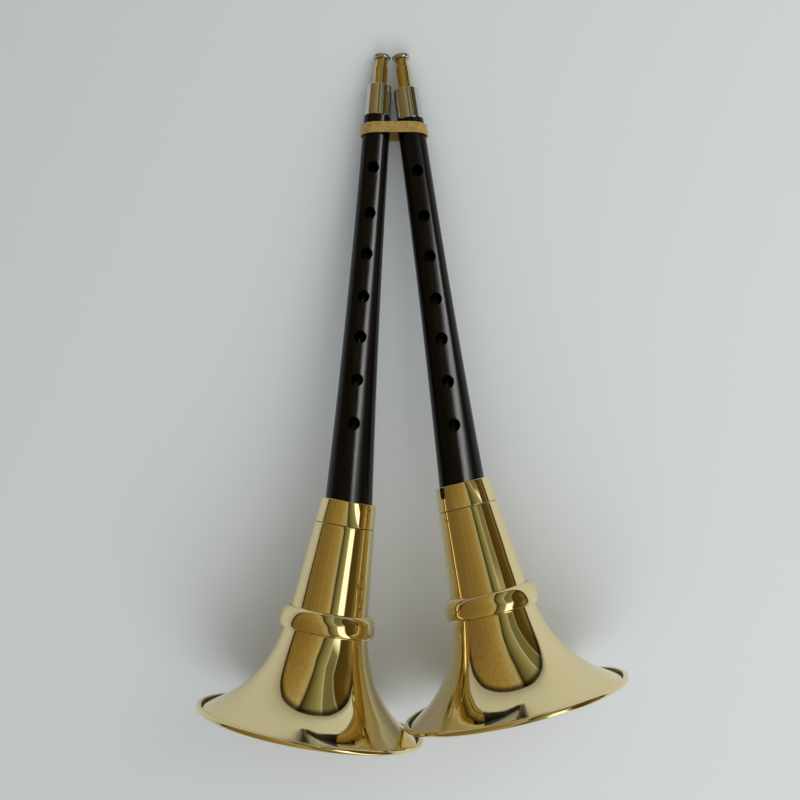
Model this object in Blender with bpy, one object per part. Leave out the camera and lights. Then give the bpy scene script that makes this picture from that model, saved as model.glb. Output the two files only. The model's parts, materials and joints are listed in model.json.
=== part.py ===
"""Two black-wood suonas laid side by side and bound near the top with a rubber band.

Each instrument is turned about its own axis and then laid on the table: its head disc and the
rim of its bell touch the table, so the wood rises towards the bell. In an instrument's own
frame +Z points out of the head, -Y is the side of the finger holes, and z = 0 is the top of
the metal ferrule. The bell has a frame of its own, with z = 0 at the top of its collar.
"""

import math

import bmesh
import bpy
import numpy as np
from mathutils import Matrix, Vector

MM = 0.001
SEAT_GAP = 0.3 * MM

# Wooden body
FERRULE_LENGTH = 21.0 * MM
WOOD_LENGTH_BELOW_FERRULE = 287.0 * MM
WOOD_TOP_D = 17.7 * MM
WOOD_MID_D = 22.7 * MM
WOOD_FOOT_D = 33.4 * MM
WOOD_FOOT_ROUNDING = 1.2 * MM
WOOD_TENON_D = 14.6 * MM
BORE_TOP_D = 8.4 * MM
BORE_FOOT_D = 22.0 * MM
SOCKET_D = 10.8 * MM
SOCKET_DEPTH = 60.0 * MM

# Finger holes, from the ferrule down
FIRST_HOLE_BELOW_FERRULE = 36.2 * MM
HOLE_PITCHES = [30.6 * MM, 27.0 * MM, 28.2 * MM, 26.4 * MM, 27.8 * MM, 28.0 * MM]
FINGER_HOLE_D = 7.6 * MM
THUMB_HOLE_D = 7.2 * MM
THUMB_HOLE_SHARE = 0.5
DRILL_RUN_OUT = 2.0 * MM

# Metal ferrule over the top of the wood
FERRULE_TOP_D = 16.6 * MM
FERRULE_BOTTOM_D = 17.4 * MM
FERRULE_SHEET = 0.8 * MM
FERRULE_ROUNDING = 0.8 * MM

# Core: the brass tube that carries the reed, its thread packing, reed pipe and lip disc
CORE_D = 9.3 * MM
CORE_LENGTH = 51.0 * MM
CORE_BORE_D = 6.6 * MM
CORE_FOOT_D = 8.5 * MM
CORE_EDGE = 0.4 * MM
CORE_PLAY = 0.3 * MM
PACKING_LENGTH = 16.0 * MM
PACKING_FROM_FOOT = 2.0 * MM
PACKING_PLAY = 0.1 * MM
REED_PIPE_D = 7.7 * MM
REED_PIPE_BORE_D = 4.2 * MM
REED_PIPE_NECK = 5.5 * MM
REED_PIPE_SEAT_DEPTH = 9.0 * MM
REED_PIPE_SEAT_D = 6.6 * MM
REED_PIPE_TIP_D = 5.6 * MM
DISC_D = 12.1 * MM
DISC_THICKNESS = 2.8 * MM
DISC_EDGE_ROUNDING = 1.1 * MM

# Bell: collar, cone, ring over the joint, flare and the wire in its rim
BELL_SHEET = 0.8 * MM
COLLAR_TOP_D = 36.0 * MM
COLLAR_BORE_D = 32.4 * MM
COLLAR_LIP = 1.0 * MM
COLLAR_ROUNDING = 0.5 * MM
SEAM_D = 38.9 * MM
SEAM_DEPTH = 15.6 * MM
CONE_FOOT_D = 51.2 * MM
JOINT_DEPTH = 76.8 * MM
RING_D = 61.0 * MM
RING_HEIGHT = 14.0 * MM
RING_FULLNESS = 0.65
FLARE_BASE_D = 44.0 * MM
FLARE_RATE = 25.5 * MM
MOUTH_D = 145.2 * MM
MOUTH_DEPTH = 142.7 * MM
RIM_WIRE_D = 1.6 * MM
RIM_CURL = math.radians(250)

# Rubber band
BAND_WIDTH = 7.2 * MM
BAND_THICKNESS = 1.3 * MM
BAND_BELOW_HEADS = 50.2 * MM

# How the pair lies: angles in the plan, positive towards +X, and each instrument's own set
DISC_GAP = 0.6 * MM
SET = {
    "left": {
        "swing": math.radians(-4.1),
        "bell_cock": math.radians(-5.7),
        "core_out": 21.1 * MM,
        "collar_below_ferrule_top": 274.8 * MM,
        "side": -1,
    },
    "right": {
        "swing": math.radians(8.0),
        "bell_cock": math.radians(5.7),
        "core_out": 23.9 * MM,
        "collar_below_ferrule_top": 262.0 * MM,
        "side": 1,
    },
}

# How finely the round forms are divided
WOOD_SIDES = 32
WOOD_STATIONS = 8
HOLE_SIDES = 12
TUBE_SIDES = 20
BELL_SIDES = 36
RING_STEPS = 6
FLARE_STATIONS = 8
FLARE_CROWDING = 0.8
RIM_CURL_POINTS = 6
WIRE_SIDES = 5
BAND_END_STEPS = 13


def material(name, colour, metallic, roughness):
    """A plain Principled BSDF material."""
    mat = bpy.data.materials.new(name)
    mat.use_nodes = True
    shader = mat.node_tree.nodes["Principled BSDF"]
    shader.inputs["Base Color"].default_value = (*colour, 1.0)
    shader.inputs["Metallic"].default_value = metallic
    shader.inputs["Roughness"].default_value = roughness
    return mat


def arc(centre, radius, start, end, steps):
    """Points on an arc about (r, z), angles in degrees from the +r direction."""
    angles = np.radians(np.linspace(start, end, steps + 1))
    return [(centre[0] + radius * math.cos(a), centre[1] + radius * math.sin(a)) for a in angles]


def offset(line, distance):
    """The open line of (r, z) points moved sideways, to the left of its direction."""
    points = np.array(line)
    ways = np.gradient(points, axis=0)
    ways /= np.linalg.norm(ways, axis=1)[:, None]
    sideways = np.stack([-ways[:, 1], ways[:, 0]], axis=1)
    return [tuple(p) for p in points + sideways * distance]


def finish_mesh(name, mesh_data, mat, parent, sharp=math.radians(35)):
    """Turn a bmesh into a smooth-shaded object under its parent empty."""
    bmesh.ops.recalc_face_normals(mesh_data, faces=mesh_data.faces)
    mesh = bpy.data.meshes.new(name)
    mesh_data.to_mesh(mesh)
    mesh_data.free()
    mesh.shade_smooth()
    mesh.set_sharp_from_angle(angle=sharp)
    mesh.materials.append(mat)
    thing = bpy.data.objects.new(name, mesh)
    bpy.context.collection.objects.link(thing)
    thing.parent = parent
    return thing


def tube_of_rings(name, rings, mat, parent):
    """A closed solid from loops of points, each joined to the next and the last to the first."""
    work = bmesh.new()
    loops = [[work.verts.new(point) for point in ring] for ring in rings]
    for loop, following in zip(loops, loops[1:] + loops[:1]):
        for k in range(len(loop)):
            other = (k + 1) % len(loop)
            work.faces.new((loop[k], loop[other], following[other], following[k]))
    return finish_mesh(name, work, mat, parent)


def turned(name, outline, sides, mat, parent):
    """Turn a closed outline of (r, z) points about Z, as on a lathe."""
    turns = [2 * math.pi * k / sides for k in range(sides)]
    rings = [[(r * math.cos(t), r * math.sin(t), z) for t in turns] for r, z in outline]
    return tube_of_rings(name, rings, mat, parent)


def empty(name, parent=None, location=(0, 0, 0), rotation=(0, 0, 0)):
    """An empty that carries a frame."""
    thing = bpy.data.objects.new(name, None)
    bpy.context.collection.objects.link(thing)
    thing.parent = parent
    thing.location = location
    thing.rotation_euler = rotation
    return thing


def wood_radius(below_ferrule):
    """Outer radius of the wood: a parabola through its top, middle and foot diameters."""
    t = below_ferrule / WOOD_LENGTH_BELOW_FERRULE
    top, middle, foot = WOOD_TOP_D, WOOD_MID_D, WOOD_FOOT_D
    across = top * (1 - t) * (1 - 2 * t) + 4 * middle * t * (1 - t) + foot * t * (2 * t - 1)
    return across / 2


def cone_radius(depth):
    """Outer radius of the bell's cone below its collar's top."""
    t = (depth - SEAM_DEPTH) / (JOINT_DEPTH - SEAM_DEPTH)
    return (SEAM_D + (CONE_FOOT_D - SEAM_D) * t) / 2


def rim_centre():
    """Centre of the rim's bead, as (r, z) in the bell's frame, and the bead's radius."""
    bead = RIM_WIRE_D / 2 + SEAT_GAP + BELL_SHEET
    return (MOUTH_D / 2 - bead, bead - MOUTH_DEPTH), bead


def flare_end():
    """Where the flare's middle line runs into the rim's bead: its slope, radius and z."""
    (bead_r, bead_z), bead = rim_centre()
    turn_radius = bead - BELL_SHEET / 2
    end_r, end_z = bead_r, bead_z
    for _ in range(6):
        slope = (end_r - FLARE_BASE_D / 2) / FLARE_RATE
        length = math.hypot(1, slope)
        end_r = bead_r - turn_radius / length
        end_z = bead_z - turn_radius * slope / length
    return slope, end_r, end_z


def flare_point(z, aside=0.0):
    """The flare's middle line at z as (r, z), or the point of a skin that lies aside of it."""
    _, end_r, end_z = flare_end()
    growth = (end_r - FLARE_BASE_D / 2) * math.exp((end_z - z) / FLARE_RATE)
    slope = growth / FLARE_RATE
    length = math.hypot(1, slope)
    return FLARE_BASE_D / 2 + growth + aside / length, z + aside * slope / length


def rim_curl(radius):
    """Points of the rolled rim at a radius about its wire; the first two lie level, as a foot."""
    slope, _, _ = flare_end()
    start = math.pi + math.atan(slope)
    level = 3 * math.pi - start
    turns = [start] + list(np.linspace(level, start + RIM_CURL, RIM_CURL_POINTS))
    (bead_r, bead_z), _ = rim_centre()
    return [(bead_r + radius * math.cos(t), bead_z + radius * math.sin(t)) for t in turns]


def wood_outline():
    """Outline of the wooden body: tenon under the ferrule, tapered outside, socket and bore."""
    top = -(FERRULE_SHEET + SEAT_GAP)
    shoulder = -(FERRULE_LENGTH + SEAT_GAP)
    foot = -(FERRULE_LENGTH + WOOD_LENGTH_BELOW_FERRULE)
    foot_r = WOOD_FOOT_D / 2
    outline = [(WOOD_TENON_D / 2, top), (WOOD_TENON_D / 2, shoulder), (WOOD_TOP_D / 2, shoulder)]
    for below in np.linspace(0, WOOD_LENGTH_BELOW_FERRULE, WOOD_STATIONS)[1:-1]:
        outline.append((wood_radius(below), -FERRULE_LENGTH - below))
    outline += arc(
        (foot_r - WOOD_FOOT_ROUNDING, foot + WOOD_FOOT_ROUNDING), WOOD_FOOT_ROUNDING, 0, -90, 2
    )
    outline.append((BORE_FOOT_D / 2, foot))
    outline.append((BORE_TOP_D / 2, -SOCKET_DEPTH))
    outline.append((SOCKET_D / 2, -SOCKET_DEPTH))
    outline.append((SOCKET_D / 2, top))
    return outline


def hole_cutter(name, parent):
    """Seven finger holes on the front and the thumb hole behind, as one cutter."""
    work = bmesh.new()
    depth = -(FERRULE_LENGTH + FIRST_HOLE_BELOW_FERRULE)
    spots = [depth]
    for pitch in HOLE_PITCHES:
        depth -= pitch
        spots.append(depth)
    thumb = spots[0] + THUMB_HOLE_SHARE * (spots[1] - spots[0])
    holes = [(z, FINGER_HOLE_D, -1) for z in spots] + [(thumb, THUMB_HOLE_D, 1)]
    for z, across, facing in holes:
        reach = WOOD_FOOT_D / 2 + DRILL_RUN_OUT
        middle = Matrix.Translation((0, facing * reach / 2, z))
        bmesh.ops.create_cone(
            work,
            cap_ends=True,
            segments=HOLE_SIDES,
            radius1=across / 2,
            radius2=across / 2,
            depth=reach,
            matrix=middle @ Matrix.Rotation(math.pi / 2, 4, "X"),
        )
    cutter = finish_mesh(name, work, BLACKWOOD, parent)
    cutter.hide_render = True
    cutter.display_type = "WIRE"
    return cutter


def wood_body(label, parent):
    """The turned wooden body, bored for the fingers."""
    body = turned(label + "_wood_body", wood_outline(), WOOD_SIDES, BLACKWOOD, parent)
    holes = body.modifiers.new("finger_holes", "BOOLEAN")
    holes.operation = "DIFFERENCE"
    holes.solver = "EXACT"
    holes.object = hole_cutter(label + "_hole_cutter", parent)
    return body


def top_ferrule(label, parent):
    """The drawn metal cap on the wood's top, open in the middle for the core."""
    mouth = CORE_D / 2 + CORE_PLAY
    top_r, bottom_r = FERRULE_TOP_D / 2, FERRULE_BOTTOM_D / 2
    inside_top = WOOD_TENON_D / 2 + SEAT_GAP
    outline = [(mouth, 0)]
    outline += arc((top_r - FERRULE_ROUNDING, -FERRULE_ROUNDING), FERRULE_ROUNDING, 90, 0, 2)
    outline += [(bottom_r, -FERRULE_LENGTH), (inside_top, -FERRULE_LENGTH)]
    outline += [(inside_top, -FERRULE_SHEET), (mouth, -FERRULE_SHEET)]
    return turned(label + "_top_ferrule", outline, TUBE_SIDES, NICKEL, parent)


def core_tube(label, parent, shoulder):
    """The brass tube that slides in the wood's socket, stepped for its packing."""
    foot = shoulder - CORE_LENGTH
    packing_top = foot + PACKING_FROM_FOOT + PACKING_LENGTH + SEAT_GAP
    seat_bottom = shoulder - REED_PIPE_SEAT_DEPTH
    seat_r = REED_PIPE_SEAT_D / 2 + SEAT_GAP
    outline = [
        (seat_r, shoulder),
        (CORE_D / 2 - CORE_EDGE, shoulder),
        (CORE_D / 2, shoulder - CORE_EDGE),
        (CORE_D / 2, packing_top),
        (CORE_FOOT_D / 2, packing_top),
        (CORE_FOOT_D / 2, foot),
        (CORE_BORE_D / 2, foot),
        (CORE_BORE_D / 2, seat_bottom),
        (seat_r, seat_bottom),
    ]
    return turned(label + "_core_tube", outline, TUBE_SIDES, BRASS, parent)


def core_packing(label, parent, shoulder):
    """The thread wound round the core's foot, which holds and seals it in the socket."""
    bottom = shoulder - CORE_LENGTH + PACKING_FROM_FOOT
    inside = CORE_FOOT_D / 2 + SEAT_GAP / 3
    outside = SOCKET_D / 2 - PACKING_PLAY
    edge = (outside - inside) / 2
    middle = inside + edge
    outline = [(inside, bottom), (middle, bottom), (outside, bottom + edge)]
    outline += [(outside, bottom + PACKING_LENGTH - edge), (middle, bottom + PACKING_LENGTH)]
    outline += [(inside, bottom + PACKING_LENGTH)]
    return turned(label + "_core_packing", outline, TUBE_SIDES, THREAD, parent)


def reed_pipe(label, parent, shoulder, disc_top):
    """The narrow pipe set in the core: it carries the lip disc, and the reed goes on its end."""
    disc_bottom = disc_top - DISC_THICKNESS
    outline = [
        (REED_PIPE_BORE_D / 2, disc_top),
        (REED_PIPE_TIP_D / 2, disc_top),
        (REED_PIPE_TIP_D / 2, disc_bottom - SEAT_GAP),
        (REED_PIPE_D / 2, disc_bottom - SEAT_GAP),
        (REED_PIPE_D / 2, shoulder + SEAT_GAP),
        (REED_PIPE_SEAT_D / 2, shoulder + SEAT_GAP),
        (REED_PIPE_SEAT_D / 2, shoulder - REED_PIPE_SEAT_DEPTH + SEAT_GAP),
        (REED_PIPE_BORE_D / 2, shoulder - REED_PIPE_SEAT_DEPTH + SEAT_GAP),
    ]
    return turned(label + "_reed_pipe", outline, TUBE_SIDES, BRASS, parent)


def disc_outline(disc_top):
    """Outline of the lip disc: a bored disc with a rounded edge."""
    r = DISC_D / 2
    hole = REED_PIPE_TIP_D / 2 + SEAT_GAP
    bottom = disc_top - DISC_THICKNESS
    edge = DISC_EDGE_ROUNDING
    outline = [(hole, disc_top)]
    outline += arc((r - edge, disc_top - edge), edge, 90, 0, 2)
    outline += arc((r - edge, bottom + edge), edge, 0, -90, 2)
    outline.append((hole, bottom))
    return outline


def bell_collar(label, parent):
    """The collar above the seam, its top edge turned in to run on the wood."""
    seam = -(SEAM_DEPTH - SEAT_GAP / 2)
    top_r = COLLAR_TOP_D / 2
    outline = [(COLLAR_BORE_D / 2, 0)]
    outline += arc((top_r - COLLAR_ROUNDING, -COLLAR_ROUNDING), COLLAR_ROUNDING, 90, 0, 1)
    outline += [(SEAM_D / 2, seam), (SEAM_D / 2 - BELL_SHEET, seam)]
    outline += [(top_r - BELL_SHEET, -COLLAR_LIP), (COLLAR_BORE_D / 2, -COLLAR_LIP)]
    return turned(label + "_bell_collar", outline, BELL_SIDES, BRASS, parent)


def bell_cone(label, parent):
    """The long cone between the seam and the ring."""
    top = SEAM_DEPTH + SEAT_GAP / 2
    foot = JOINT_DEPTH - SEAT_GAP / 2
    outer = [(cone_radius(d), -d) for d in (top, foot)]
    inner = [(r - BELL_SHEET, z) for r, z in reversed(outer)]
    return turned(label + "_bell_cone", outer + inner, BELL_SIDES, BRASS, parent)


def bell_ring(label, parent):
    """The hollow ring that closes over the joint of cone and flare, open on its inside."""
    half = RING_HEIGHT / 2
    top_z, bottom_z = -(JOINT_DEPTH - half), -(JOINT_DEPTH + half)
    top_r = cone_radius(-top_z) + SEAT_GAP
    bottom_r = flare_point(bottom_z, BELL_SHEET / 2)[0] + SEAT_GAP
    bulge = RING_D / 2 - (top_r + bottom_r) / 2
    outer = []
    for step in range(RING_STEPS + 1):
        turn = math.pi * step / RING_STEPS
        share = (1 - math.cos(turn)) / 2
        seat = top_r + (bottom_r - top_r) * share
        full = math.sin(turn) ** RING_FULLNESS if 0 < step < RING_STEPS else 0.0
        outer.append((seat + bulge * full, top_z + (bottom_z - top_z) * share))
    inner = offset(outer, -BELL_SHEET)
    inner[0] = (top_r, inner[0][1])
    inner[-1] = (bottom_r, inner[-1][1])
    return turned(label + "_bell_ring", outer + inner[::-1], BELL_SIDES, BRASS, parent)


def bell_flare(label, parent):
    """The spun flare, its edge rolled back round the rim wire and left open by a slit."""
    top_z = -(JOINT_DEPTH + SEAT_GAP / 2)
    _, _, end_z = flare_end()
    _, bead = rim_centre()
    shares = np.linspace(0, 1, FLARE_STATIONS)[:-1] ** FLARE_CROWDING
    heights = [top_z + (end_z - top_z) * share for share in shares]
    outside = [flare_point(z, BELL_SHEET / 2) for z in heights] + rim_curl(bead - BELL_SHEET)
    inside = [flare_point(z, -BELL_SHEET / 2) for z in heights] + rim_curl(bead)
    return turned(label + "_bell_flare", outside + inside[::-1], BELL_SIDES, BRASS, parent)


def rim_wire(label, parent):
    """The stiffening wire inside the rolled rim."""
    centre, _ = rim_centre()
    last = 360 * (WIRE_SIDES - 1) / WIRE_SIDES
    outline = arc(centre, RIM_WIRE_D / 2, 0, last, WIRE_SIDES - 1)
    return turned(label + "_rim_wire", outline, BELL_SIDES, STEEL, parent)


def lying_angle(own):
    """How far the wood rises to the bell when head disc and rim both touch the table."""
    head = disc_outline(own["core_out"])
    _, bead = rim_centre()
    run = math.cos(own["bell_cock"])
    rim = [(r, z * run - own["collar_below_ferrule_top"]) for r, z in rim_curl(bead)]
    rise = 0.0
    for _ in range(12):
        low_head, low_rim = (
            min(line, key=lambda p: -p[0] * math.cos(rise) - p[1] * math.sin(rise))
            for line in (head, rim)
        )
        rise = math.atan2(low_rim[0] - low_head[0], low_head[1] - low_rim[1])
    return rise


def instrument(label, pair):
    """One whole suona: its frame, the wood, the sliding core and the sliding bell."""
    own = SET[label]
    rise = lying_angle(own)
    swing = own["swing"]
    out = own["core_out"] - DISC_THICKNESS / 2
    reach = (DISC_D + DISC_GAP) / 2
    head = Vector((own["side"] * reach, 0, 0))
    level = math.cos(rise)
    along = Vector((-math.sin(swing) * level, math.cos(swing) * level, -math.sin(rise)))
    frame = empty(label + "_frame", pair, head - along * out, (-(math.pi / 2 + rise), 0, swing))
    core = empty(label + "_core_frame", frame)
    bell = empty(
        label + "_bell_frame",
        frame,
        (0, 0, -own["collar_below_ferrule_top"]),
        (0, -own["bell_cock"], 0),
    )
    disc_top = own["core_out"]
    shoulder = disc_top - DISC_THICKNESS - REED_PIPE_NECK
    wood_body(label, frame)
    top_ferrule(label, frame)
    core_tube(label, core, shoulder)
    core_packing(label, core, shoulder)
    reed_pipe(label, core, shoulder, disc_top)
    turned(label + "_lip_disc", disc_outline(disc_top), TUBE_SIDES, NICKEL, core)
    bell_collar(label, bell)
    bell_cone(label, bell)
    bell_ring(label, bell)
    bell_flare(label, bell)
    rim_wire(label, bell)
    return frame, bell


def loop_round(circles, grow):
    """Points of a tight loop round two circles (x, y, radius) in a plane, radii grown."""
    (x1, y1, r1), (x2, y2, r2) = circles
    r1, r2 = r1 + grow, r2 + grow
    apart = math.hypot(x2 - x1, y2 - y1)
    facing = math.atan2(y2 - y1, x2 - x1)
    lean = math.acos((r1 - r2) / apart)
    points = []
    for x, y, r, start, end in (
        (x1, y1, r1, facing + lean, facing + 2 * math.pi - lean),
        (x2, y2, r2, facing - lean, facing + lean),
    ):
        for turn in np.linspace(start, end, BAND_END_STEPS + 1):
            points.append((x + r * math.cos(turn), y + r * math.sin(turn)))
    return points


def rubber_band(pair, frames):
    """The flat band round both bodies, each of its edges a tight loop round the two woods."""
    rise = sum(lying_angle(own) for own in SET.values()) / len(SET)
    rotation = (-(math.pi / 2 + rise), 0, 0)
    place = empty("band_frame", pair, (0, 0, 0), rotation)
    bpy.context.view_layer.update()
    to_band = place.matrix_world.inverted()
    inner, outer = [], []
    for across in (BAND_WIDTH / 2, 0, -BAND_WIDTH / 2):
        z = across - BAND_BELOW_HEADS
        circles = []
        for frame in frames:
            local = to_band @ frame.matrix_world
            axis = local.to_3x3() @ Vector((0, 0, 1))
            origin = local.translation
            run = (z - origin.z) / axis.z
            spot = origin + axis * run
            circles.append((spot.x, spot.y, wood_radius(-run - FERRULE_LENGTH) / axis.z))
        inner.append([(x, y, z) for x, y in loop_round(circles, SEAT_GAP)])
        outer.append([(x, y, z) for x, y in loop_round(circles, SEAT_GAP + BAND_THICKNESS)])
    return tube_of_rings("rubber_band", outer + inner[::-1], LATEX, place)


def stand_on_origin(pair):
    """Move the pair so that the origin is under the middle of its box, on the table."""
    bpy.context.view_layer.update()
    corners = []
    for thing in bpy.data.objects:
        if thing.type == "MESH" and not thing.hide_render:
            corners += [thing.matrix_world @ vertex.co for vertex in thing.data.vertices]
    low = Vector([min(c[i] for c in corners) for i in range(3)])
    high = Vector([max(c[i] for c in corners) for i in range(3)])
    pair.location = (-(low.x + high.x) / 2, -(low.y + high.y) / 2, -low.z)
    bpy.context.view_layer.update()
    print("size mm", [round(v / MM, 2) for v in high - low])


def print_places(pair, parts):
    """Print the joints' axes and the mounts' points, in metres in the part's frame."""
    print("spread pivot", [round(v, 5) for v in pair.matrix_world.translation])
    for label, (frame, bell) in parts.items():
        own = SET[label]
        outward = frame.matrix_world.to_3x3() @ Vector((0, 0, 1))
        mouthward = bell.matrix_world.to_3x3() @ Vector((0, 0, -1))
        reed_spot = Vector((0, -(REED_PIPE_TIP_D + DISC_D) / 4, own["core_out"]))
        level = rim_curl(rim_centre()[1])[:2]
        mouth_r, mouth_z = (sum(v) / 2 for v in zip(*level))
        print(label, "rise deg", round(math.degrees(lying_angle(own)), 3))
        print(label, "slide axis outward", [round(v, 6) for v in outward])
        print(label, "bell axis to the mouth", [round(v, 6) for v in mouthward])
        print(label, "reed seat", [round(v, 6) for v in frame.matrix_world @ reed_spot])
        mouth_spot = Vector((0, -mouth_r, mouth_z))
        print(label, "mouth point", [round(v, 6) for v in bell.matrix_world @ mouth_spot])


for old in list(bpy.data.objects):
    bpy.data.objects.remove(old, do_unlink=True)

BLACKWOOD = material("oiled_blackwood", (0.012, 0.009, 0.008), 0.0, 0.28)
BRASS = material("polished_brass", (0.72, 0.58, 0.30), 1.0, 0.12)
NICKEL = material("polished_nickel_silver", (0.66, 0.62, 0.54), 1.0, 0.14)
STEEL = material("steel_wire", (0.45, 0.45, 0.45), 1.0, 0.35)
THREAD = material("waxed_thread", (0.62, 0.52, 0.36), 0.0, 0.8)
LATEX = material("amber_latex", (0.42, 0.26, 0.07), 0.0, 0.45)

PAIR = empty("pair_frame")
PARTS = {label: instrument(label, PAIR) for label in SET}
rubber_band(PAIR, [PARTS["left"][0], PARTS["right"][0]])
stand_on_origin(PAIR)
print_places(PAIR, PARTS)
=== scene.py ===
# %% [markdown]
# # Two suonas under one rubber band
#
# A suona is a loud folk shawm: a conical wooden body with finger holes, a thin metal core that
# carries the reed, and a big spun brass bell that slides over the wood's foot. Here two of them
# lie side by side on a table and are seen from above. The CAD part gives every size and place;
# this notebook lays smooth, polished surfaces over it.
#
# Most of what the eye sees on polished brass is the room. So half of the work is the shapes, and
# the other half is a simple room for them to mirror.

import json
import math

import bmesh
import bpy
import numpy as np
from mathutils import Matrix, Vector


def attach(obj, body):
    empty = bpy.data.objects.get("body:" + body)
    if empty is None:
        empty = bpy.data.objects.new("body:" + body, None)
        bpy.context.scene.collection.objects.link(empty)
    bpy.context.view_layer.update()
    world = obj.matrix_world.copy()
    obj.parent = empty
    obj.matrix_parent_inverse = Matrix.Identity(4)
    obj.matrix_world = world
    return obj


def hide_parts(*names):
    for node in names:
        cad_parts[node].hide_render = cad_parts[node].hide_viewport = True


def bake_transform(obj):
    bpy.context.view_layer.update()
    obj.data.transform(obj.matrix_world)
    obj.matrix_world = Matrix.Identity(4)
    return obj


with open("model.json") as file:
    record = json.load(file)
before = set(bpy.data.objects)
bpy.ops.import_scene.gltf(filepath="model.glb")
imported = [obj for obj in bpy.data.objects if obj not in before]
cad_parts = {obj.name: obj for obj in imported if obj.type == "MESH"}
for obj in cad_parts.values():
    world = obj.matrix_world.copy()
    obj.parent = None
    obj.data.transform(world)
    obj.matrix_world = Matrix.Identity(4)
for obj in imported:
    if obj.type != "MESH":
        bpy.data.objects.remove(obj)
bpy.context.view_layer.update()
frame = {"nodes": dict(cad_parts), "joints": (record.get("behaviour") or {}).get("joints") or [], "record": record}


# %% [markdown]
# ## Where each instrument lies
#
# Everything on a suona is turned on a lathe, so a piece is fully told by its axis and its
# outline. The record already states two axes per instrument: the core slides along the wood's
# axis, and the bell's mouth faces along the bell's own axis, which is cocked a few degrees to the
# side because the bell sits loosely on the wood. The start of each axis is read off a CAD piece.

# %% Axes of the wood and of the bells
MM = 0.001
LABELS = ("left", "right")


def axis_frame(node, outward):
    """A frame with +Z along outward and -Y up, its origin in the middle of the node's top end."""
    z = Vector(outward).normalized()
    up = (Vector((0, 0, 1)) - z * z.z).normalized()
    x = (-up).cross(z)
    turn = Matrix((x, -up, z)).transposed()
    points = np.array([turn.inverted() @ v.co for v in frame["nodes"][node].data.vertices])
    low, high = points.min(axis=0), points.max(axis=0)
    middle = Vector(((low[0] + high[0]) / 2, (low[1] + high[1]) / 2, high[2]))
    return Matrix.Translation(turn @ middle) @ turn.to_4x4()


slides = {joint["name"]: joint for joint in frame["joints"]}
mounts = {mount["name"]: mount for mount in frame["record"]["mounts"]}
WOOD = {}
BELL = {}
for label in LABELS:
    outward = slides[label + "_core_slide"]["axis"]
    WOOD[label] = axis_frame(label + "_top_ferrule", outward)
    BELL[label] = axis_frame(label + "_bell_collar", -Vector(mounts[label + "_mouth"]["axis"]))
    print(label, "ferrule top, mm", [round(1000 * v, 2) for v in WOOD[label].translation])
    print(label, "collar top, mm", [round(1000 * v, 2) for v in BELL[label].translation])


def along(label, node, which):
    """Least (0) or greatest (1) height of a CAD node on its instrument's axis."""
    back = WOOD[label].inverted()
    heights = [(back @ v.co).z for v in frame["nodes"][node].data.vertices]
    return (min(heights), max(heights))[which]


# %% [markdown]
# ## Node materials with few words
#
# Each finish is a small network of nodes. Two helpers keep them short: one turns a colour written
# as sRGB hex into the linear values that a renderer needs, and one adds a node with its settings
# and links in one call.

# %% Helpers for materials
def linear(hex_colour):
    """Linear RGBA from an sRGB hex colour such as 'D8C27A'."""
    parts = [int(hex_colour[i : i + 2], 16) / 255 for i in (0, 2, 4)]
    return [c / 12.92 if c <= 0.04045 else ((c + 0.055) / 1.055) ** 2.4 for c in parts] + [1.0]


def add(tree, kind, settings=None, **inputs):
    """Add a node; an input takes a value or a socket, and i0, i1 are inputs told by number."""
    node = tree.nodes.new(kind)
    for key, value in (settings or {}).items():
        setattr(node, key, value)
    for key, value in inputs.items():
        numbered = key[0] == "i" and key[1:].isdigit()
        socket = node.inputs[int(key[1:])] if numbered else node.inputs[key.replace("_", " ")]
        if isinstance(value, bpy.types.NodeSocket):
            tree.links.new(value, socket)
        else:
            socket.default_value = value
    return node


def new_material(name):
    """A material with only its output and Principled shader; returns material, tree, shader."""
    material = bpy.data.materials.new(name)
    material.use_nodes = True
    return material, material.node_tree, material.node_tree.nodes["Principled BSDF"]


def ramp(tree, factor, stops):
    """A colour ramp from (position, hex colour) stops; returns its colour output."""
    node = add(tree, "ShaderNodeValToRGB", Fac=factor)
    steps = node.color_ramp.elements
    while len(steps) < len(stops):
        steps.new(1.0)
    for step, (position, colour) in zip(steps, stops):
        step.position = position
        step.color = linear(colour)
    return node.outputs["Color"]


def lathe_place(tree, stretch=(1, 1, 1)):
    """Position on the lathe, in metres from the turned piece's own origin, stretched."""
    place = add(tree, "ShaderNodeAttribute", {"attribute_name": "lathe"})
    times = {"operation": "MULTIPLY"}
    scaled = add(tree, "ShaderNodeVectorMath", times, i0=place.outputs["Vector"], i1=stretch)
    return scaled.outputs["Vector"]


print("mid grey 808080 in linear light", [round(c, 3) for c in linear("808080")[:3]])

# %% [markdown]
# ## Polished brass
#
# The bell is sheet brass, seamed, hammered and spun, then buffed to a mirror. A mirror is never
# perfect: the hammer and the spinning tool leave waves a few centimetres long that bend the
# reflections, and the buffing wheel leaves a faint haze. The waves are a bump far too low to see
# as shape, and the haze is a low roughness that wanders a little.

# %% Brass, nickel silver and their waves
WAVES_ALONG = (1, 1, 0.6)
HAZE_PER_WAVE = 3


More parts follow.
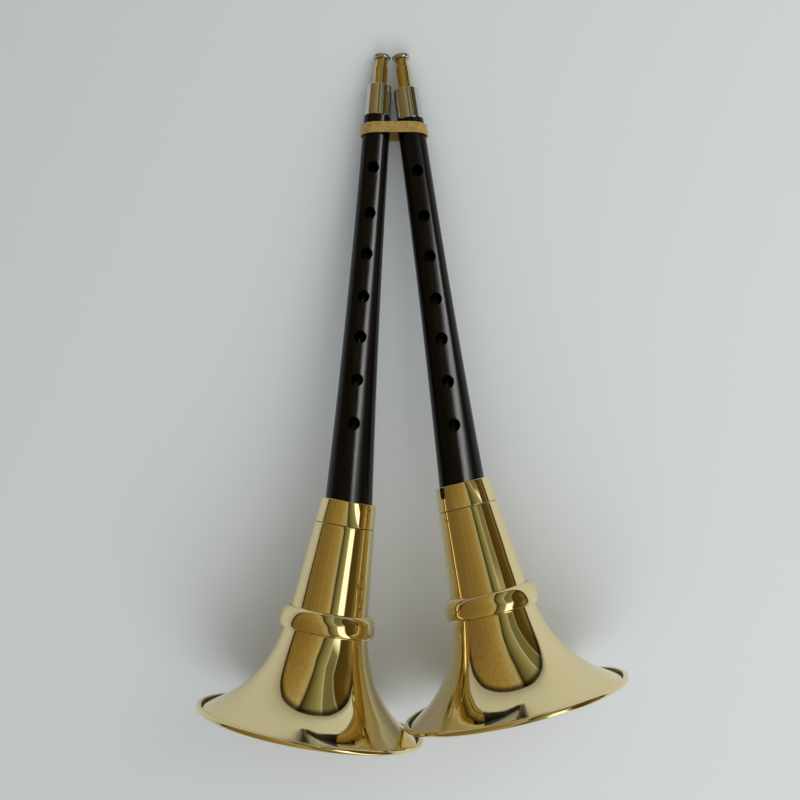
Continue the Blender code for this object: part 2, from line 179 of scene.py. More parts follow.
def polished_metal(name, colour, rough_low, rough_high, wave_mm, wave_length_mm):
    """Mirror-like metal with slow waves in its surface and a light, uneven haze."""
    material, tree, shader = new_material(name)
    shader.inputs["Metallic"].default_value = 1.0
    shader.inputs["Base Color"].default_value = linear(colour)
    wave_scale = 1 / (wave_length_mm * MM)
    lathe = lathe_place(tree, WAVES_ALONG)
    waves = add(tree, "ShaderNodeTexNoise", Vector=lathe, Scale=wave_scale, Detail=1.0)
    fine_scale = wave_scale * HAZE_PER_WAVE
    haze = add(tree, "ShaderNodeTexNoise", Vector=lathe_place(tree), Scale=fine_scale, Detail=3.0)
    spread = add(tree, "ShaderNodeMapRange", Value=haze.outputs["Fac"], From_Min=0.35, From_Max=0.7)
    spread.inputs["To Min"].default_value = rough_low
    spread.inputs["To Max"].default_value = rough_high
    tree.links.new(spread.outputs["Result"], shader.inputs["Roughness"])
    bump = add(tree, "ShaderNodeBump", Height=waves.outputs["Fac"], Strength=1.0, Distance=wave_mm * MM)
    tree.links.new(bump.outputs["Normal"], shader.inputs["Normal"])
    return material


BRASS_SHEET = polished_metal("buffed brass sheet", "F2E0AC", 0.03, 0.07, 0.22, 22)
BRASS_TUBE = polished_metal("buffed brass tube", "DCC488", 0.12, 0.2, 0.05, 6)
NICKEL = polished_metal("polished nickel silver", "CECDC9", 0.08, 0.16, 0.06, 9)
print("metals:", BRASS_SHEET.name, BRASS_TUBE.name, NICKEL.name)

# %% [markdown]
# ## Oiled blackwood
#
# The bodies are a dense, almost black rosewood, turned and oiled. The grain runs along the
# instrument and only shows as a slight brown drift and very fine pores; the oil makes a satin
# skin, so the window draws one soft long streak on each body.

# %% Blackwood
GRAIN_WIDTH_MM = 3.85
PORE_WIDTH_MM = 0.667
PORE_DEPTH_MM = 0.02
GRAIN_ALONG = (1, 1, 0.04)


def oiled_wood():
    """Near-black wood with long fine grain under a satin oil skin."""
    material, tree, shader = new_material("oiled blackwood")
    long_grain = lathe_place(tree, GRAIN_ALONG)
    grain_scale = 1 / (GRAIN_WIDTH_MM * MM)
    pore_scale = 1 / (PORE_WIDTH_MM * MM)
    drift = add(tree, "ShaderNodeTexNoise", Vector=long_grain, Scale=grain_scale, Detail=5.0)
    colour = ramp(tree, drift.outputs["Fac"], [(0.3, "030302"), (0.55, "070504"), (0.8, "120C08")])
    tree.links.new(colour, shader.inputs["Base Color"])
    pores = add(tree, "ShaderNodeTexNoise", Vector=long_grain, Scale=pore_scale, Detail=2.0)
    skin = add(tree, "ShaderNodeMapRange", Value=pores.outputs["Fac"], From_Min=0.3, From_Max=0.7)
    skin.inputs["To Min"].default_value = 0.17
    skin.inputs["To Max"].default_value = 0.25
    tree.links.new(skin.outputs["Result"], shader.inputs["Roughness"])
    shader.inputs["Specular IOR Level"].default_value = 0.17
    depth = PORE_DEPTH_MM * MM
    bump = add(tree, "ShaderNodeBump", Height=pores.outputs["Fac"], Strength=0.5, Distance=depth)
    tree.links.new(bump.outputs["Normal"], shader.inputs["Normal"])
    return material


BLACKWOOD = oiled_wood()
print("wood:", BLACKWOOD.name, "with", len(BLACKWOOD.node_tree.nodes), "nodes")

# %% [markdown]
# ## Amber latex and the small hidden parts
#
# The band is translucent natural rubber: light goes in, scatters and comes out warmer, so its
# edges glow paler than its face. Thread and wire stay inside, where only a pulled core or a cut
# would show them, and keep plain finishes.

# %% Latex, thread and wire
DUST_SIZE_MM = 2.38


def amber_latex():
    """Slightly translucent natural rubber with a dusty sheen."""
    material, tree, shader = new_material("amber latex")
    place = add(tree, "ShaderNodeTexCoord")
    dust_scale = 1 / (DUST_SIZE_MM * MM)
    dust = add(tree, "ShaderNodeTexNoise", Vector=place.outputs["Object"], Scale=dust_scale, Detail=3.0)
    colour = ramp(tree, dust.outputs["Fac"], [(0.3, "9C7A3C"), (0.6, "B29450"), (0.85, "C4AA6A")])
    tree.links.new(colour, shader.inputs["Base Color"])
    shader.inputs["Roughness"].default_value = 0.42
    shader.inputs["Subsurface Weight"].default_value = 0.35
    shader.inputs["Subsurface Radius"].default_value = (1.0, 0.55, 0.2)
    shader.inputs["Subsurface Scale"].default_value = 1.2 * MM
    return material


def plain(name, colour, metallic, roughness):
    """A plain finish for a piece inside."""
    material, tree, shader = new_material(name)
    shader.inputs["Base Color"].default_value = linear(colour)
    shader.inputs["Metallic"].default_value = metallic
    shader.inputs["Roughness"].default_value = roughness
    return material


LATEX = amber_latex()
THREAD = plain("waxed thread", "B8A078", 0.0, 0.8)
WIRE = plain("steel wire", "9A9A9A", 1.0, 0.35)
print("small parts:", LATEX.name, THREAD.name, WIRE.name)

# %% [markdown]
# ## A lathe
#
# One function turns an outline of (radius, height) points about an axis. It also stores each
# point's place on the lathe, so grain and waves stay on the piece when it moves or is cocked.

# %% The lathe and its outlines
SEAT_GAP = 0.3 * MM
SHARP_EDGE = math.radians(30)


def finish_piece(name, mesh_data, material, body, replaced):
    """Make an object of a bmesh in the row frame, hang it on its body, and hide the CAD nodes it stands for."""
    mesh = bpy.data.meshes.new(name)
    mesh_data.to_mesh(mesh)
    mesh_data.free()
    mesh.shade_smooth()
    mesh.set_sharp_from_angle(angle=SHARP_EDGE)
    mesh.materials.append(material)
    piece = bpy.data.objects.new(name, mesh)
    bpy.context.collection.objects.link(piece)
    if body:
        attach(piece, body)
    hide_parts(*replaced)
    return piece


def join_rings(work, rings):
    """Faces between each closed ring of points and the next."""
    for ring, following in zip(rings, rings[1:]):
        for k in range(len(ring)):
            other = (k + 1) % len(ring)
            work.faces.new((ring[k], ring[other], following[other], following[k]))


def turned_mesh(outline, place, sides):
    """A bmesh turned from a closed outline of (r, z) points, laid in place, with its lathe place."""
    work = bmesh.new()
    stored = work.verts.layers.float_vector.new("lathe")
    turns = [2 * math.pi * k / sides for k in range(sides)]
    rings = []
    for r, z in outline:
        ring = []
        for turn in turns:
            local = Vector((r * math.cos(turn), r * math.sin(turn), z))
            vertex = work.verts.new(place @ local)
            vertex[stored] = local
            ring.append(vertex)
        rings.append(ring)
    join_rings(work, rings + rings[:1])
    bmesh.ops.recalc_face_normals(work, faces=work.faces)
    return work


def turned(label, name, outline, place, material, body, sides):
    """A turned piece that stands for the CAD node of the same name."""
    work = turned_mesh(outline, place, sides)
    node = label + "_" + name
    return finish_piece(node + "_smooth", work, material, label + "_" + body, [node])


def arc(centre, radius, start, end, steps):
    """Points on an arc about (r, z), angles in degrees from the +r direction."""
    angles = np.radians(np.linspace(start, end, steps + 1))
    return [(centre[0] + radius * math.cos(a), centre[1] + radius * math.sin(a)) for a in angles]


print("gap between seated pieces, mm", round(SEAT_GAP / MM, 2))

# %% [markdown]
# ## Wooden bodies
#
# The outside of the wood is turned from a slim waist at the ferrule to a wide foot, along a very
# flat curve: a parabola through three diameters tells it. The bore widens to the foot, and its top
# is drilled out as a socket for the core.

# %% Sizes and outline of the wood
FERRULE_LENGTH = 21.0 * MM
WOOD_LENGTH = 287.0 * MM
WOOD_TOP_D = 17.7 * MM
WOOD_MID_D = 22.7 * MM
WOOD_FOOT_D = 33.4 * MM
WOOD_TENON_D = 14.6 * MM
SOCKET_D = 10.8 * MM
SOCKET_DEPTH = 60.0 * MM
BORE_TOP_D = 8.4 * MM
BORE_FOOT_D = 22.0 * MM
FERRULE_SHEET = 0.8 * MM
FOOT_ROUNDING = 1.2 * MM
SHOULDER_EASING = 0.3 * MM
WOOD_STATIONS = 60
WOOD_SIDES = 96


def wood_radius(below_ferrule):
    """Outer radius of the wood: a parabola through its top, middle and foot diameters."""
    t = below_ferrule / WOOD_LENGTH
    across = WOOD_TOP_D * (1 - t) * (1 - 2 * t) + 4 * WOOD_MID_D * t * (1 - t)
    across += WOOD_FOOT_D * t * (2 * t - 1)
    return across / 2


def wood_outline():
    """Outline of the body: tenon, tapered outside, foot, bore and core socket."""
    top = -(FERRULE_SHEET + SEAT_GAP)
    shoulder = -(FERRULE_LENGTH + SEAT_GAP)
    foot = -(FERRULE_LENGTH + WOOD_LENGTH)
    outline = [(WOOD_TENON_D / 2, top), (WOOD_TENON_D / 2, shoulder)]
    outline.append((WOOD_TOP_D / 2 - SHOULDER_EASING, shoulder))
    outline.append((WOOD_TOP_D / 2, shoulder - SHOULDER_EASING))
    for below in np.linspace(0, WOOD_LENGTH, WOOD_STATIONS)[1:-1]:
        outline.append((wood_radius(below), -FERRULE_LENGTH - below))
    outline += arc((WOOD_FOOT_D / 2 - FOOT_ROUNDING, foot + FOOT_ROUNDING), FOOT_ROUNDING, 0, -90, 6)
    outline += [(BORE_FOOT_D / 2, foot), (BORE_TOP_D / 2, -SOCKET_DEPTH)]
    outline += [(SOCKET_D / 2, -SOCKET_DEPTH), (SOCKET_D / 2, top)]
    return outline


print("wood outline with", len(wood_outline()), "points")

# %% [markdown]
# The seven finger holes and the thumb hole behind are drilled and then eased at the edge so that
# the fingers seal well. That small rounding catches the light and is what makes a black hole show
# on black wood. All holes of one body are cut at once by one cutter mesh.

# %% Drill and turn the wood
FIRST_HOLE_BELOW_FERRULE = 36.2 * MM
HOLE_PITCHES = [30.6 * MM, 27.0 * MM, 28.2 * MM, 26.4 * MM, 27.8 * MM, 28.0 * MM]
FINGER_HOLE_D = 7.6 * MM
THUMB_HOLE_D = 7.2 * MM
HOLE_EASING = 0.45 * MM
HOLE_SIDES = 48
# How far an eased hole's edge goes out and up, in easings, from the bore to just past the surface.
EASED_EDGE = [(0, -2.2), (0.3, -1.0), (1.0, -0.2), (2.4, 1.0)]


def drill(place):
    """One cutter for all holes, each a cylinder that opens a little where it leaves the wood."""
    depth = FIRST_HOLE_BELOW_FERRULE
    depths = [depth]
    for pitch in HOLE_PITCHES:
        depth += pitch
        depths.append(depth)
    holes = [(below, FINGER_HOLE_D, -1) for below in depths]
    holes.append(((depths[0] + depths[1]) / 2, THUMB_HOLE_D, 1))
    work = bmesh.new()
    for below, across, facing in holes:
        surface = wood_radius(below)
        bore = across / 2
        profile = [(bore, 0.0)]
        for wider, out in EASED_EDGE:
            profile.append((bore + wider * HOLE_EASING, surface + out * HOLE_EASING))
        upright = Matrix.Rotation(-facing * math.pi / 2, 4, "X")
        lie = place @ Matrix.Translation((0, 0, -FERRULE_LENGTH - below)) @ upright
        rings = []
        for r, out in profile:
            ring = []
            for k in range(HOLE_SIDES):
                turn = 2 * math.pi * k / HOLE_SIDES
                point = Vector((r * math.cos(turn), r * math.sin(turn), out))
                ring.append(work.verts.new(lie @ point))
            rings.append(ring)
        join_rings(work, rings)
        work.faces.new(rings[0])
        work.faces.new(rings[-1])
    bmesh.ops.recalc_face_normals(work, faces=work.faces)
    mesh = bpy.data.meshes.new("drill")
    work.to_mesh(mesh)
    work.free()
    return bpy.data.objects.new("drill", mesh)


def apply_cut(piece, cutter):
    """Cut a piece for good, so that its final mesh is what is kept."""
    bpy.context.collection.objects.link(cutter)
    cut = piece.modifiers.new("drilled", "BOOLEAN")
    cut.operation = "DIFFERENCE"
    cut.solver = "EXACT"
    cut.object = cutter
    bpy.context.view_layer.update()
    drilled = bpy.data.meshes.new_from_object(piece.evaluated_get(bpy.context.evaluated_depsgraph_get()))
    piece.modifiers.clear()
    piece.data = drilled
    bpy.data.objects.remove(cutter, do_unlink=True)
    drilled.set_sharp_from_angle(angle=SHARP_EDGE)


for label in LABELS:
    place = WOOD[label]
    body = turned(label, "wood_body", wood_outline(), place, BLACKWOOD, "body", WOOD_SIDES)
    apply_cut(body, drill(place))
    print(label, "wood", len(body.data.polygons), "faces")

# %% [markdown]
# ## Ferrules, cores and lip discs
#
# A nickel-silver cap keeps the wood's thin top from splitting. Out of it comes the core, a brass
# tube that is pushed in or pulled out to tune, and on the core sits a narrow pipe with a small
# disc for the lips. The reed would go on the pipe's end; none is fitted.

# %% Turn the small metal parts
FERRULE_TOP_D = 16.6 * MM
FERRULE_BOTTOM_D = 17.4 * MM
FERRULE_ROUNDING = 0.8 * MM
CORE_D = 9.3 * MM
CORE_FOOT_D = 8.5 * MM
CORE_BORE_D = 6.6 * MM
CORE_PLAY = 0.3 * MM
CORE_EDGE = 0.4 * MM
PACKING_TOP = 18.3 * MM
PIPE_D = 7.7 * MM
PIPE_BORE_D = 4.2 * MM
PIPE_TIP_D = 5.6 * MM
PIPE_SEAT_D = 6.6 * MM
PIPE_SEAT_DEPTH = 9.0 * MM
DISC_D = 12.1 * MM
DISC_EDGE_ROUNDING = 1.1 * MM
FERRULE_FOOT_BEVEL = (0.2 * MM, 0.25 * MM)
TUBE_SIDES = 96


def ferrule_outline():
    """A thin cap with a rounded top edge and a small bevel at its foot."""
    mouth = CORE_D / 2 + CORE_PLAY
    inside = WOOD_TENON_D / 2 + SEAT_GAP
    outline = [(mouth, 0)]
    outline += arc((FERRULE_TOP_D / 2 - FERRULE_ROUNDING, -FERRULE_ROUNDING), FERRULE_ROUNDING, 90, 0, 8)
    bevel_in, bevel_up = FERRULE_FOOT_BEVEL
    outline.append((FERRULE_BOTTOM_D / 2, -FERRULE_LENGTH + bevel_up))
    outline.append((FERRULE_BOTTOM_D / 2 - bevel_in, -FERRULE_LENGTH))
    outline += [(inside, -FERRULE_LENGTH), (inside, -FERRULE_SHEET), (mouth, -FERRULE_SHEET)]
    return outline


def core_outline(shoulder, foot):
    """The sliding tube: eased shoulder, waist for the packing, bore and the pipe's seat."""
    seat = PIPE_SEAT_D / 2 + SEAT_GAP
    seat_end = shoulder - PIPE_SEAT_DEPTH
    outline = [(seat, shoulder)]
    outline += arc((CORE_D / 2 - CORE_EDGE, shoulder - CORE_EDGE), CORE_EDGE, 90, 0, 5)
    outline += [(CORE_D / 2, foot + PACKING_TOP), (CORE_FOOT_D / 2, foot + PACKING_TOP)]
    outline += [(CORE_FOOT_D / 2, foot), (CORE_BORE_D / 2, foot)]
    return outline + [(CORE_BORE_D / 2, seat_end), (seat, seat_end)]


def pipe_outline(shoulder, tip, step):
    """The reed pipe: a tip that carries the disc, a thicker neck, and a foot in the core's seat."""
    inner_end = shoulder - PIPE_SEAT_DEPTH + SEAT_GAP
    outline = [(PIPE_BORE_D / 2, tip), (PIPE_TIP_D / 2, tip), (PIPE_TIP_D / 2, step)]
    outline += [(PIPE_D / 2, step), (PIPE_D / 2, shoulder + SEAT_GAP)]
    outline += [(PIPE_SEAT_D / 2, shoulder + SEAT_GAP), (PIPE_SEAT_D / 2, inner_end)]
    return outline + [(PIPE_BORE_D / 2, inner_end)]


def disc_outline(top, bottom):
    """The lip disc, round at both edges, with the hole that the pipe's tip goes through."""
    edge = DISC_EDGE_ROUNDING
    hole = PIPE_TIP_D / 2 + SEAT_GAP
    outline = [(hole, top)] + arc((DISC_D / 2 - edge, top - edge), edge, 90, 0, 10)
    return outline + arc((DISC_D / 2 - edge, bottom + edge), edge, 0, -90, 10) + [(hole, bottom)]


for label in LABELS:
    place = WOOD[label]
    shoulder = along(label, label + "_core_tube", 1)
    foot = along(label, label + "_core_tube", 0)
    tip = along(label, label + "_reed_pipe", 1)
    disc_bottom = along(label, label + "_lip_disc", 0)
    pipe = pipe_outline(shoulder, tip, disc_bottom - SEAT_GAP)
    for name, outline, material, slot, body in (
        ("top_ferrule", ferrule_outline(), NICKEL, "nickel_silver", "body"),
        ("core_tube", core_outline(shoulder, foot), BRASS_TUBE, "brass_tube", "core"),
        ("reed_pipe", pipe, BRASS_TUBE, "brass_tube", "core"),
        ("lip_disc", disc_outline(tip, disc_bottom), NICKEL, "nickel_silver", "core"),
    ):
        turned(label, name, outline, place, material, body, TUBE_SIDES)
    print(label, "core stands out of the ferrule by, mm", round(shoulder / MM, 1))

# %% [markdown]
# ## Bells
#
# The bell is made in stages. A cone is bent from sheet and seamed, the flare is spun over a
# former until its curve grows almost exponentially, a hollow ring is closed over their joint, and
# last the flare's edge is rolled back round a wire, which makes the pale round rim and lets a thin
# sheet stand a knock. The collar above the seam is the part that slides on the wood.

# %% Turn the bells
SHEET = 0.8 * MM
COLLAR_TOP_D = 36.0 * MM
COLLAR_BORE_D = 32.4 * MM
COLLAR_LIP = 1.0 * MM
COLLAR_ROUNDING = 0.5 * MM
SEAM_D = 38.9 * MM
SEAM_DEPTH = 15.6 * MM
CONE_FOOT_D = 51.2 * MM
JOINT_DEPTH = 76.8 * MM
RING_D = 61.0 * MM
RING_HEIGHT = 14.0 * MM
RING_FULLNESS = 0.65
FLARE_BASE_D = 44.0 * MM
FLARE_RATE = 25.5 * MM
MOUTH_D = 145.2 * MM
MOUTH_DEPTH = 142.7 * MM
RIM_WIRE_D = 1.6 * MM
RIM_CURL = math.radians(250)
SHEET_EDGE = 0.35 * MM
FLARE_CROWDING = 0.8
BELL_SIDES = 240


def offset(line, distance):
    """The open line of (r, z) points moved sideways, to the left of its direction."""
    points = np.array(line)
    ways = np.gradient(points, axis=0)
    ways /= np.linalg.norm(ways, axis=1)[:, None]
    sideways = np.stack([-ways[:, 1], ways[:, 0]], axis=1)
    return [tuple(p) for p in points + sideways * distance]


def cone_radius(depth):
    """Outer radius of the cone below the collar's top."""
    t = (depth - SEAM_DEPTH) / (JOINT_DEPTH - SEAM_DEPTH)
    return (SEAM_D + (CONE_FOOT_D - SEAM_D) * t) / 2


BEAD = RIM_WIRE_D / 2 + SEAT_GAP + SHEET
BEAD_R, BEAD_Z = MOUTH_D / 2 - BEAD, BEAD - MOUTH_DEPTH


def flare_end():
    """Where the flare's middle line runs into the rim's bead: its slope, radius and z."""
    turn_radius = BEAD - SHEET / 2
    end_r, end_z = BEAD_R, BEAD_Z
    for _ in range(6):
        slope = (end_r - FLARE_BASE_D / 2) / FLARE_RATE
        length = math.hypot(1, slope)
        end_r = BEAD_R - turn_radius / length
        end_z = BEAD_Z - turn_radius * slope / length
    return slope, end_r, end_z


END_SLOPE, END_R, END_Z = flare_end()


def flare_point(z, aside=0.0):
    """The flare's middle line at z as (r, z), or the point of a skin that lies aside of it."""
    growth = (END_R - FLARE_BASE_D / 2) * math.exp((END_Z - z) / FLARE_RATE)
    slope = growth / FLARE_RATE
    length = math.hypot(1, slope)
    return FLARE_BASE_D / 2 + growth + aside / length, z + aside * slope / length


def rim_curl(radius, points=28):
    """Points of the rolled rim at a radius about its wire, from the end of the flare."""
    start = math.pi + math.atan(END_SLOPE)
    turns = np.linspace(start, start + RIM_CURL, points)
    return [(BEAD_R + radius * math.cos(t), BEAD_Z + radius * math.sin(t)) for t in turns]


def collar_outline():
    """The collar: its top edge is turned in, its foot is closed to the seam."""
    seam = -(SEAM_DEPTH - SEAT_GAP / 2)
    edge = SHEET_EDGE
    outline = [(COLLAR_BORE_D / 2, 0)]
    outline += arc((COLLAR_TOP_D / 2 - COLLAR_ROUNDING, -COLLAR_ROUNDING), COLLAR_ROUNDING, 90, 0, 6)
    outline += [(SEAM_D / 2, seam + edge)] + arc((SEAM_D / 2 - edge, seam + edge), edge, 0, -90, 4)
    outline += [(SEAM_D / 2 - SHEET, seam), (COLLAR_TOP_D / 2 - SHEET, -COLLAR_LIP)]
    outline.append((COLLAR_BORE_D / 2, -COLLAR_LIP))
    return outline


def cone_outline():
    """The cone's sheet from the seam to the joint under the ring."""
    top, foot = SEAM_DEPTH + SEAT_GAP / 2, JOINT_DEPTH - SEAT_GAP / 2
    edge = SHEET_EDGE
    r_top = cone_radius(top)
    outer = arc((r_top - edge, -top - edge), edge, 90, 0, 4)
    outer += [(cone_radius(d), -d) for d in np.linspace(top + 2 * edge, foot, 24)]
    return outer + [(cone_radius(foot) - SHEET, -foot), (r_top - SHEET, -top)]


def ring_outline(steps=36):
    """The hollow ring: full and nearly square in the shoulder, closed against cone and flare."""
    half = RING_HEIGHT / 2
    top_z, bottom_z = -(JOINT_DEPTH - half), -(JOINT_DEPTH + half)
    top_r = cone_radius(-top_z) + SEAT_GAP
    bottom_r = flare_point(bottom_z, SHEET / 2)[0] + SEAT_GAP
    bulge = RING_D / 2 - (top_r + bottom_r) / 2
    outer = []
    for step in range(steps + 1):
        turn = math.pi * step / steps
        share = (1 - math.cos(turn)) / 2
        seat = top_r + (bottom_r - top_r) * share
        full = math.sin(turn) ** RING_FULLNESS if 0 < step < steps else 0.0
        outer.append((seat + bulge * full, top_z + (bottom_z - top_z) * share))
    inner = offset(outer, -SHEET)
    inner[0] = (top_r, inner[0][1])
    inner[-1] = (bottom_r, inner[-1][1])
    return outer + inner[::-1]


def flare_outline(steps=90):
    """The spun flare and its rolled rim, outside and inside."""
    top_z = -(JOINT_DEPTH + SEAT_GAP / 2)
    shares = np.linspace(0, 1, steps)[:-1] ** FLARE_CROWDING
    heights = [top_z + (END_Z - top_z) * share for share in shares]
    outside = [flare_point(z, SHEET / 2) for z in heights] + rim_curl(BEAD - SHEET)
    inside = [flare_point(z, -SHEET / 2) for z in heights] + rim_curl(BEAD)
    return outside + inside[::-1]


for label in LABELS:
    for name, outline in (
        ("bell_collar", collar_outline()),
        ("bell_cone", cone_outline()),
        ("bell_ring", ring_outline()),
        ("bell_flare", flare_outline()),
    ):
        turned(label, name, outline, BELL[label], BRASS_SHEET, "bell", BELL_SIDES)
print("rim bead, mm", round(2 * BEAD / MM, 2), "flare slope at the rim", round(END_SLOPE, 2))

# %% [markdown]
# ## The rubber band
#
# A flat band holds the pair. It lies tight round both woods, goes straight across the gap between
# them, and follows their taper. It is laid once, as the pair lies, and hangs on neither body.

# %% Lay the band
BAND_THICKNESS = 1.3 * MM
BAND_EDGE = 0.45 * MM
STRAIGHT_STEPS = 12
ROUND_STEPS = 40

band_node = frame["nodes"]["rubber_band"]
pivot = Vector(slides["pair_spread"]["pos_m"])
mean_out = Vector(slides["left_core_slide"]["axis"]) + Vector(slides["right_core_slide"]["axis"])
mean_out.x = 0
mean_out.normalize()
across = Vector((1, 0, 0))
band_up = across.cross(mean_out)
BAND = Matrix.Translation(pivot) @ Matrix((across, -band_up, mean_out)).transposed().to_4x4()
back = BAND.inverted()
heights = [(back @ v.co).z for v in band_node.data.vertices]
band_low, band_high = min(heights), max(heights)


def band_loop(z, grow):
    """Points of the tight loop round both woods at height z, grown outward."""
    circles = []
    for label in LABELS:
        local = back @ WOOD[label]
        axis = local.to_3x3() @ Vector((0, 0, 1))
        run = (z - local.translation.z) / axis.z
        spot = local.translation + axis * run
        circles.append((spot.x, spot.y, wood_radius(-run - FERRULE_LENGTH) / axis.z + grow))
    (x1, y1, r1), (x2, y2, r2) = circles
    facing = math.atan2(y2 - y1, x2 - x1)
    lean = math.acos((r1 - r2) / math.hypot(x2 - x1, y2 - y1))
    arcs = []
    ends = (
        (x1, y1, r1, facing + lean, facing + 2 * math.pi - lean),
        (x2, y2, r2, facing - lean, facing + lean),
    )
    for x, y, r, start, end in ends:
        turns = np.linspace(start, end, ROUND_STEPS + 1)
        arcs.append([Vector((x + r * math.cos(t), y + r * math.sin(t), z)) for t in turns])
    loop = []
    for this, other in (arcs, arcs[::-1]):
        loop += this
        loop += [this[-1].lerp(other[0], share) for share in np.linspace(0, 1, STRAIGHT_STEPS)[1:-1]]
    return loop


def band_section():
    """The band's cross-section as (grow, height) points, with softly rounded edges."""
    low, high = band_low, band_high
    inner, outer = SEAT_GAP, SEAT_GAP + BAND_THICKNESS
    edge = BAND_EDGE
    points = []
    corners = (
        (outer - edge, high - edge, 90, 0),
        (outer - edge, low + edge, 0, -90),
        (inner + edge, low + edge, -90, -180),
        (inner + edge, high - edge, 180, 90),
    )
    for grow, z, start, end in corners:
        points += arc((grow, z), edge, start, end, 4)
    return points


def make_band():
    """Sweep the section round the loop."""
    work = bmesh.new()
    stored = work.verts.layers.float_vector.new("lathe")
    loops = []
    for grow, z in band_section():
        loop = []
        for point in band_loop(z, grow):
            vertex = work.verts.new(BAND @ point)
            vertex[stored] = point
            loop.append(vertex)
        loops.append(loop)
    join_rings(work, loops + loops[:1])
    bmesh.ops.recalc_face_normals(work, faces=work.faces)
    return work


band = finish_piece("rubber_band_smooth", make_band(), LATEX, None, ["rubber_band"])
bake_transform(band)
print("band width, mm", round((band_high - band_low) / MM, 2))

# %% [markdown]
# ## What stays as CAD
#
# The packing and the rim wire sit inside other pieces. They keep their CAD solids and only get
# their finish.

# %% Finish the hidden pieces
for label in LABELS:
    for node, material in ((label + "_core_packing", THREAD), (label + "_rim_wire", WIRE)):
        frame["nodes"][node].data.materials.clear()
        frame["nodes"][node].data.materials.append(material)
        print(node, "in", material.name)

# %% [markdown]
# ## The table
#
# The table is a plain pale laminate, far wider than the picture. It lies a hair under the rims, so
# that no face of a bell lies in the same plane.

# %% Table
TABLE_SIZE = 6.0
UNDER_RIMS = 0.1 * MM


def make_table():
    """A plain pale table that keeps soft shadows."""
    material, tree, shader = new_material("pale laminate")
    shader.inputs["Base Color"].default_value = linear("DEE1E0")
    shader.inputs["Roughness"].default_value = 0.6
    bpy.ops.mesh.primitive_plane_add(size=TABLE_SIZE, location=(0, 0, -UNDER_RIMS))
    table = bpy.context.object
    table.name = "table"
    table.data.materials.append(material)
    return table


table = make_table()
print("table, m", [round(side, 1) for side in table.dimensions])

# %% [markdown]
# ## The room
#
# The bells mirror what is above them, so the world is painted by direction. A direction is a point
# on a sphere round the object: its X says how far to the right a ray goes, its Y how far towards
# the heads, and its Z how high. Three short helpers turn such numbers into tones.

# %% World and its helpers
bpy.context.scene.world = bpy.data.worlds.new("room")
bpy.context.scene.world.use_nodes = True
room = bpy.context.scene.world.node_tree
room.nodes.clear()
way = add(room, "ShaderNodeTexCoord").outputs["Generated"]
parts = add(room, "ShaderNodeSeparateXYZ", Vector=way)
to_right, to_heads, upward = (parts.outputs[axis] for axis in "XYZ")


def math_node(operation, first, second):
    """One sum of two numbers or sockets in the room's nodes."""
    return add(room, "ShaderNodeMath", {"operation": operation}, i0=first, i1=second).outputs["Value"]


def remapped(value, low, high, to_low, to_high):
    """A value moved from one range to another, and kept inside it."""
    node = add(room, "ShaderNodeMapRange", Value=value, From_Min=low, From_Max=high)
    node.inputs["To Min"].default_value = to_low
    node.inputs["To Max"].default_value = to_high
    return node.outputs["Result"]


def mixed(share, first, second):
    """The colour between two colours or sockets, at a share of the second."""
    node = add(room, "ShaderNodeMix", {"data_type": "RGBA"}, i0=share, i6=first, i7=second)
    return node.outputs[2]


print("the room starts with", len(room.nodes), "nodes")

# %% [markdown]
# From the left horizon to just past the zenith the room has wood-brown boards, then a dark gap, an
# olive wall, a tall bright window to the right and a dark wall beyond it. The two bells point
# different ways, so each mirrors the same room with its streaks in other places.

# %% Tones of the room
# Places are told along the way to the right, from the left horizon (-1) to the right one (1).
BOARDS_END, DARK_GAP = 0.06, 0.12
WINDOW_LEFT, WINDOW_RIGHT = 0.50, 0.70
tones = [
    (-1.0, "75623D"),
    (-0.6, "84703F"),
    (-0.2, "98834F"),
    (BOARDS_END, "ACA27D"),
    (DARK_GAP, "30240F"),
    (0.20, "5F5E3C"),
    (0.34, "82825C"),
    (0.46, "9C9A78"),
    (WINDOW_LEFT, "F4F4EE"),
    (WINDOW_RIGHT, "F4F4EE"),
    (WINDOW_RIGHT + 0.04, "463A1A"),
    (0.92, "54441E"),
    (1.0, "8A7A50"),
]
leaning = math_node("ADD", to_right, remapped(to_heads, 0.3, 0.6, 0.0, 0.15))
walls = ramp(room, remapped(leaning, -1, 1, 0, 1), [((at + 1) / 2, tone) for at, tone in tones])
print("room with", len(tones), "tones")

# %% [markdown]
# Towards the heads the window gives way to a dim curtain, and it glows only below that. Without
# the curtain the right bell, which faces more of that side, would show the window far too bright.

# %% The window and its curtain
WINDOW_GLOW = 0.6

past_left = remapped(leaning, WINDOW_LEFT - 0.03, WINDOW_LEFT, 0.0, 1.0)
before_right = remapped(leaning, WINDOW_RIGHT, WINDOW_RIGHT + 0.04, 1.0, 0.0)
in_window = math_node("MULTIPLY", past_left, before_right)
curtained = mixed(remapped(to_heads, 0.24, 0.38, 0.0, 1.0), walls, linear("6E6C4C"))
shaded = mixed(in_window, walls, curtained)
low_window = remapped(to_heads, 0.3, 0.5, 1.0, 0.0)
soft_part = math_node("MULTIPLY", math_node("MULTIPLY", in_window, low_window), WINDOW_GLOW)
print("window from", WINDOW_LEFT, "to", WINDOW_RIGHT)

# %% [markdown]
# The boards have grain, and all walls are dark where they meet the table. Only mirrors see this
# paint: matt things are lit by an even pale sky, so that their colours stay as they are written.

# %% Grain, skirting and sky
BOARD_GRAIN = (55, 5, 12)
SKY_STRENGTH = 0.6

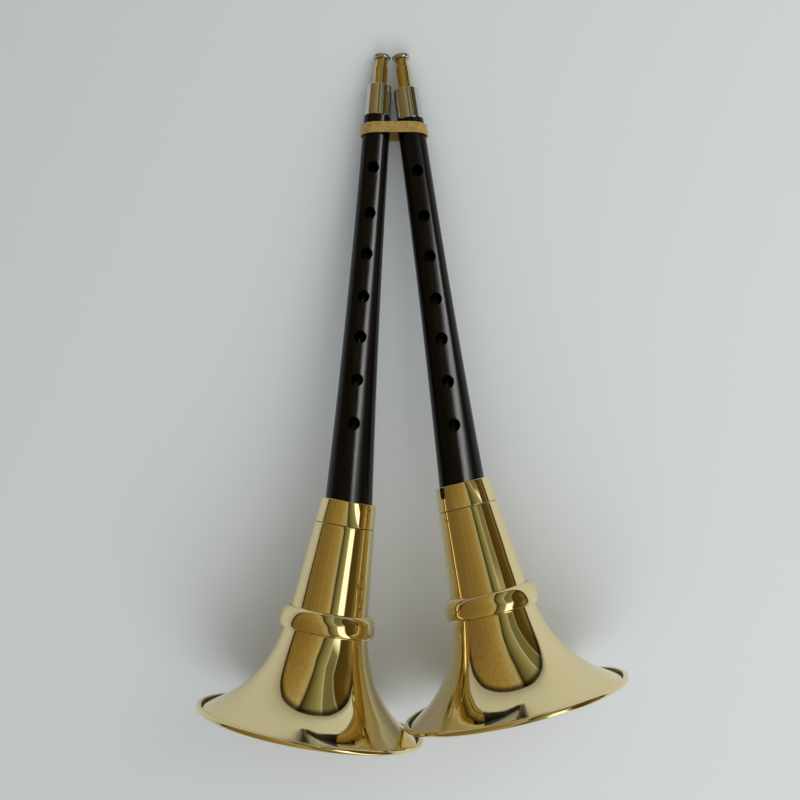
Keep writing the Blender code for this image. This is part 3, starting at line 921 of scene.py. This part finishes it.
boards = add(room, "ShaderNodeMapping", Vector=way, Scale=BOARD_GRAIN)
grain = add(room, "ShaderNodeTexNoise", Vector=boards.outputs["Vector"], Scale=1.0, Detail=5.0)
grain.inputs["Roughness"].default_value = 0.65
figure = remapped(grain.outputs["Fac"], 0.3, 0.7, 0.72, 1.25)
panelled = remapped(to_right, BOARDS_END, DARK_GAP, 1.0, 0.0)
dim = add(room, "ShaderNodeMix", {"data_type": "FLOAT"}, i0=panelled, i2=1.0, i3=figure)
skirting = remapped(upward, 0.02, 0.1, 0.15, 1.0)
level = math_node("MULTIPLY", dim.outputs[0], skirting)
strength = math_node("MULTIPLY", level, math_node("ADD", soft_part, 1.0))

mirrored = add(room, "ShaderNodeBackground", Color=shaded, Strength=strength)
sky = add(room, "ShaderNodeBackground", Color=linear("E2E6E9"), Strength=SKY_STRENGTH)
glossy = add(room, "ShaderNodeLightPath").outputs["Is Glossy Ray"]
both = add(room, "ShaderNodeMixShader", i0=glossy, i1=sky.outputs[0], i2=mirrored.outputs[0])
add(room, "ShaderNodeOutputWorld", Surface=both.outputs[0])
print("the room has", len(room.nodes), "nodes")

# %% [markdown]
# ## Soft lights
#
# Two wide soft lights stand over the table. One is beyond the bells and throws the broad shadows
# that lie up and outward of them. The other is the window on the right, which makes the table
# lighter on that side. Mirrors don't show either, because the painted room already says what they
# see.

# %% Lights
def soft_light(name, shape, size, place, aim, watts):
    """An area light at a place, turned to a point, that mirrors don't show."""
    data = bpy.data.lights.new(name, "AREA")
    data.shape = shape
    data.size, data.size_y = size
    data.energy = watts
    light = bpy.data.objects.new(name, data)
    bpy.context.collection.objects.link(light)
    light.location = place
    light.rotation_euler = (Vector(aim) - light.location).to_track_quat("-Z", "Y").to_euler()
    light.visible_glossy = False
    print(name + ", W", watts)
    return light


soft_light("light beyond the bells", "DISK", (0.8, 0.8), (0.12, -0.55, 0.75), (0, -0.05, 0), 2.2)
soft_light("window light", "RECTANGLE", (0.9, 1.2), (0.75, 0.3, 0.8), (0, 0, 0.02), 4.2)

# %% [markdown]
# Dark wood mirrors only a few hundredths of what it faces, so in a real room just the brightest
# thing, the window, leaves a streak on it. One more light stands where the window is and shines on
# the wood alone, since the brass already mirrors the painted window.

# %% The window's gleam on the wood
gleam = soft_light("window gleam", "RECTANGLE", (0.22, 1.1), (0.66, 0.40, 0.94), (0, 0.05, 0.02), 15.0)
gleam.visible_glossy = True
woods = bpy.data.collections.new("woods")
for label in LABELS:
    woods.objects.link(bpy.data.objects[label + "_wood_body_smooth"])
gleam.light_linking.receiver_collection = woods

# %% [markdown]
# ## Camera
#
# The picture is taken from above, standing, with the camera tipped a little towards the bells. Its
# place and focal length were fitted to the finger holes, heads, rings and rims.

# %% Camera and view
CAMERA_PLACE = Vector((-7.6 * MM, 44.3 * MM, 787.0 * MM))
CAMERA_TILT = math.radians(-3.72)
FOCAL_MM = 51.98

camera_data = bpy.data.cameras.new("camera")
camera_data.lens = FOCAL_MM
camera_data.sensor_width = 36.0
camera_data.clip_start = 0.01
camera = bpy.data.objects.new("camera", camera_data)
bpy.context.collection.objects.link(camera)
camera.location = CAMERA_PLACE
camera.rotation_euler = (CAMERA_TILT, 0, 0)
bpy.context.scene.camera = camera
bpy.context.scene.view_settings.view_transform = "Standard"
print("camera with a", FOCAL_MM, "mm lens, mm", [round(v / MM, 1) for v in camera.location])
